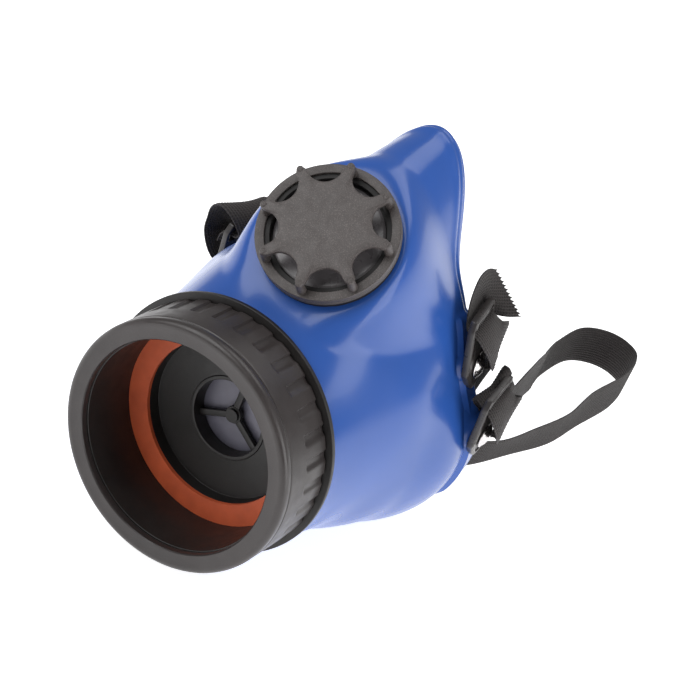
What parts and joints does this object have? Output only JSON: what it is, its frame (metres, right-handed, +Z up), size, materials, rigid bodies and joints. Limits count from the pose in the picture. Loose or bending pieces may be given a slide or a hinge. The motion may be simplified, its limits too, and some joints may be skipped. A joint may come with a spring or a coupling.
{
  "type": "half-mask respirator",
  "caption": "Half-mask respirator: moulded facepiece with a front screw socket for a cartridge, a star-capped exhalation valve and riveted buckles with elastic straps.",
  "frame": {"origin": "centre of the cartridge seat, on the socket's axis at the gasket's front face", "axes": "+Z up through the nose bridge, -Y out of the cartridge socket, +X towards the wearer's left"},
  "size_m": [0.1503, 0.3258, 0.163],
  "materials": {
    "facepiece_blue": "glossy moulded",
    "holder_black": "satin moulded",
    "ring_black": "satin moulded",
    "gasket_orange": "matte",
    "flap_grey": "smooth translucent",
    "valve_black": "satin moulded",
    "cover_black": "fine grained",
    "diaphragm_grey": "glossy",
    "buckle_black": "satin moulded",
    "rivet_chrome": "polished",
    "strap_black": "ribbed elastic webbing"
  },
  "bodies": {
    "root": {"facepiece": "facepiece_blue", "filter_holder": "holder_black", "holder_nut": "holder_black", "cartridge_gasket": "gasket_orange", "inhalation_pin": "flap_grey", "exhalation_seat": "valve_black", "exhalation_clamp_ring": "valve_black", "rivet_upper_left": "rivet_chrome", "rivet_upper_right": "rivet_chrome", "rivet_lower_left": "rivet_chrome", "rivet_lower_right": "rivet_chrome", "rivet_washers": "rivet_chrome", "upper_strap": "strap_black", "lower_strap": "strap_black"},
    "ring": {"retaining_ring": "ring_black"},
    "inhalation_disc": {"inhalation_flap": "flap_grey"},
    "exhalation_disc": {"exhalation_diaphragm": "diaphragm_grey"},
    "valve_cover": {"exhalation_cover": "cover_black"},
    "upper_left_buckle": {"buckle_upper_left": "buckle_black", "upper_strap_end_left": "strap_black"},
    "upper_right_buckle": {"buckle_upper_right": "buckle_black", "upper_strap_end_right": "strap_black"},
    "lower_left_buckle": {"buckle_lower_left": "buckle_black", "lower_strap_end_left": "strap_black"},
    "lower_right_buckle": {"buckle_lower_right": "buckle_black", "lower_strap_end_right": "strap_black"}
  },
  "joints": [
    {"name": "ring_turn", "type": "hinge", "parent": "root", "child": "ring", "pos_m": [0, -0.014, 0], "axis": [0, -1, 0], "range_deg": [0, 450]},
    {"name": "inhalation_lift", "type": "slide", "parent": "root", "child": "inhalation_disc", "axis": [0, 1, 0], "range_m": [0, 0.0015], "stiffness_N_per_m": 20},
    {"name": "exhalation_lift", "type": "slide", "parent": "root", "child": "exhalation_disc", "axis": [0, -0.7242, 0.6896], "range_m": [0, 0.0015], "stiffness_N_per_m": 20},
    {"name": "cover_turn", "type": "hinge", "parent": "root", "child": "valve_cover", "pos_m": [0, 0.02585, 0.0785], "axis": [0, -0.7242, 0.6896], "range_deg": [0, 60]},
    {"name": "upper_left_swivel", "type": "hinge", "parent": "root", "child": "upper_left_buckle", "pos_m": [0.0513, 0.0932, 0.0286], "axis": [0.9596, 0.1692, 0.225], "range_deg": [-15, 15]},
    {"name": "upper_right_swivel", "type": "hinge", "parent": "root", "child": "upper_right_buckle", "pos_m": [-0.0513, 0.0932, 0.0286], "axis": [-0.9596, 0.1692, 0.225], "range_deg": [-15, 15]},
    {"name": "lower_left_swivel", "type": "hinge", "parent": "root", "child": "lower_left_buckle", "pos_m": [0.0646, 0.0985, 0.0008], "axis": [0.9913, 0.1305, 0.0175], "range_deg": [-15, 15]},
    {"name": "lower_right_swivel", "type": "hinge", "parent": "root", "child": "lower_right_buckle", "pos_m": [-0.0646, 0.0985, 0.0008], "axis": [-0.9913, 0.1305, 0.0175], "range_deg": [-15, 15]}
  ]
}
